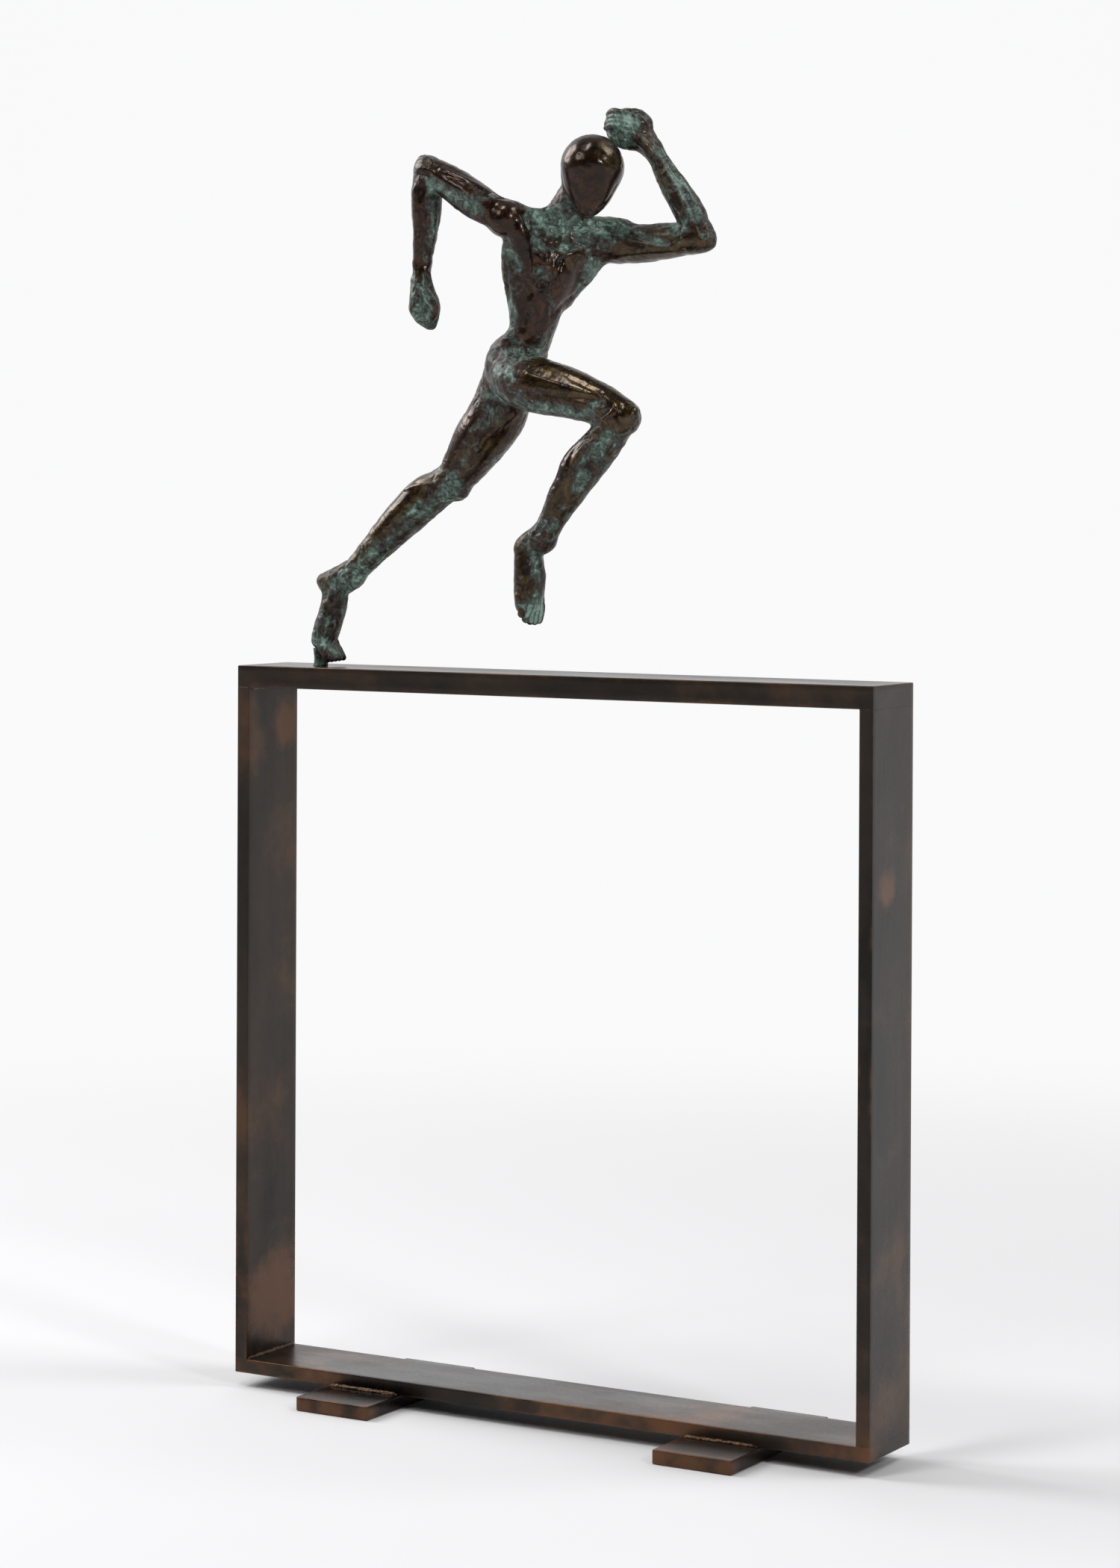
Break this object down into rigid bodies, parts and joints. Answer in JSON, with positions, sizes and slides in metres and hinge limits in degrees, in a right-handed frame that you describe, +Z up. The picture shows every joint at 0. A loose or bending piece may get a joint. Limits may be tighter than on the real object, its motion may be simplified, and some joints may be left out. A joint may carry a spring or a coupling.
{
  "type": "figure trophy",
  "caption": "Cast runner in mid-stride on one toe, standing on an open rectangular frame of dark flat bar with two foot plates.",
  "frame": {"origin": "centre of the footprint on the floor, under the middle of the frame", "axes": "+X along the frame in the running direction, +Y through the frame away from the viewer, +Z up"},
  "size_m": [0.408, 0.115, 0.7325],
  "materials": {
    "figure_bronze": "cast, brown patina on the high places and blue-green in the hollows, waxed",
    "verdigris_post": "cast, matte blue-green patina",
    "dark_bar": "near-black brown patina, rubbed copper-brown at the edges, satin",
    "weld_bead": "dressed weld under the same patina",
    "steel_fixing": "plain turned steel"
  },
  "bodies": {
    "root": {"top_bar": "dark_bar", "left_upright": "dark_bar", "right_upright": "dark_bar", "bottom_bar": "dark_bar", "left_foot_plate": "dark_bar", "right_foot_plate": "dark_bar", "corner_weld_top_left": "weld_bead", "corner_weld_top_right": "weld_bead", "corner_weld_bottom_left": "weld_bead", "corner_weld_bottom_right": "weld_bead", "foot_weld_left_front": "weld_bead", "foot_weld_left_back": "weld_bead", "foot_weld_right_front": "weld_bead", "foot_weld_right_back": "weld_bead", "mounting_post": "verdigris_post", "mounting_screw": "steel_fixing", "torso": "figure_bronze", "head": "figure_bronze", "right_arm": "figure_bronze", "left_arm": "figure_bronze", "right_leg": "figure_bronze", "left_leg": "figure_bronze", "neck_pin": "steel_fixing", "right_shoulder_pin": "steel_fixing", "left_shoulder_pin": "steel_fixing", "right_hip_pin": "steel_fixing", "left_hip_pin": "steel_fixing"}
  },
  "joints": []
}
